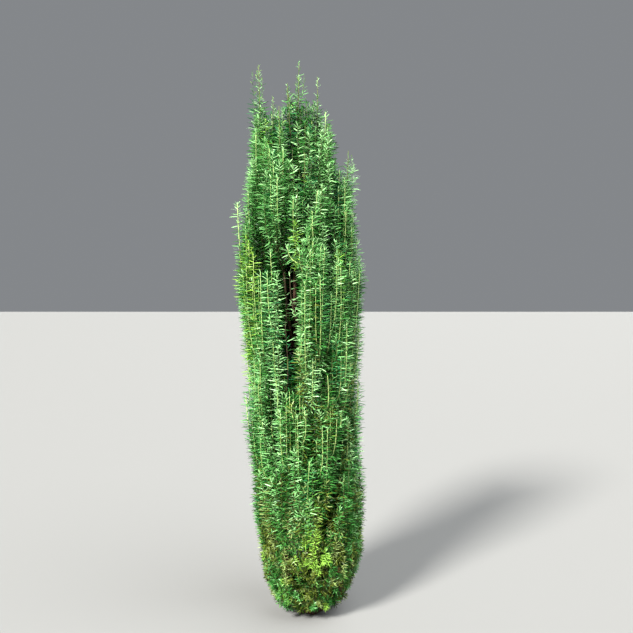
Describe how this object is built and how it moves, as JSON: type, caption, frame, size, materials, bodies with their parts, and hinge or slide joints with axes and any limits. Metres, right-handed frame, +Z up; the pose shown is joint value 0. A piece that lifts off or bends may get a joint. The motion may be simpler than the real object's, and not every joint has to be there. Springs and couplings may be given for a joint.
{
  "type": "irish yew tree",
  "caption": "Narrow, upright, columnar yew with a trunk, steep boughs and plume-shaped masses of needle-covered twigs, foliage almost to the ground.",
  "frame": {"origin": "middle of the flat cut under the trunk, at ground level", "axes": "+Z up along the plant's height, -Y towards the side that the picture shows, +X to the right in the picture"},
  "size_m": [0.4945, 0.4699, 2.1012],
  "materials": {
    "bark": "rough flaky bark",
    "foliage_base": "satin needles",
    "foliage_lower": "satin needles",
    "foliage_upper": "satin needles",
    "foliage_crown": "satin needles"
  },
  "bodies": {
    "root": {"trunk": "bark", "bough_upper_left": "bark", "bough_upper_front_left": "bark", "bough_upper_front": "bark", "bough_upper_front_right": "bark", "bough_upper_right": "bark", "bough_upper_back_1": "bark", "bough_upper_back_2": "bark", "bough_upper_back_3": "bark", "bough_upper_back_4": "bark", "bough_crown_left": "bark", "bough_crown_front_left": "bark", "bough_crown_front": "bark", "bough_crown_far_right": "bark", "bough_crown_front_right": "bark", "bough_crown_back_1": "bark", "bough_crown_back_2": "bark", "bough_crown_back_3": "bark", "foliage_base_left": "foliage_base", "foliage_base_front_left": "foliage_base", "foliage_base_front": "foliage_base", "foliage_base_front_right": "foliage_base", "foliage_base_right": "foliage_base", "foliage_base_back_1": "foliage_base", "foliage_base_back_2": "foliage_base", "foliage_base_back_3": "foliage_base", "foliage_base_back_4": "foliage_base", "foliage_lower_left": "foliage_lower", "foliage_lower_front_left": "foliage_lower", "foliage_lower_front": "foliage_lower", "foliage_lower_front_right": "foliage_lower", "foliage_lower_right": "foliage_lower", "foliage_lower_back_1": "foliage_lower", "foliage_lower_back_2": "foliage_lower", "foliage_lower_back_3": "foliage_lower", "foliage_lower_back_4": "foliage_lower", "foliage_upper_left": "foliage_upper", "foliage_upper_front_left": "foliage_upper", "foliage_upper_front": "foliage_upper", "foliage_upper_front_right": "foliage_upper", "foliage_upper_right": "foliage_upper", "foliage_upper_back_1": "foliage_upper", "foliage_upper_back_2": "foliage_upper", "foliage_upper_back_3": "foliage_upper", "foliage_upper_back_4": "foliage_upper", "foliage_crown_left": "foliage_crown", "foliage_crown_front_left": "foliage_crown", "foliage_crown_front": "foliage_crown", "foliage_crown_far_right": "foliage_crown", "foliage_crown_front_right": "foliage_crown", "foliage_crown_back_1": "foliage_crown", "foliage_crown_back_2": "foliage_crown", "foliage_crown_back_3": "foliage_crown", "foliage_crown_leader": "foliage_crown"}
  },
  "joints": []
}
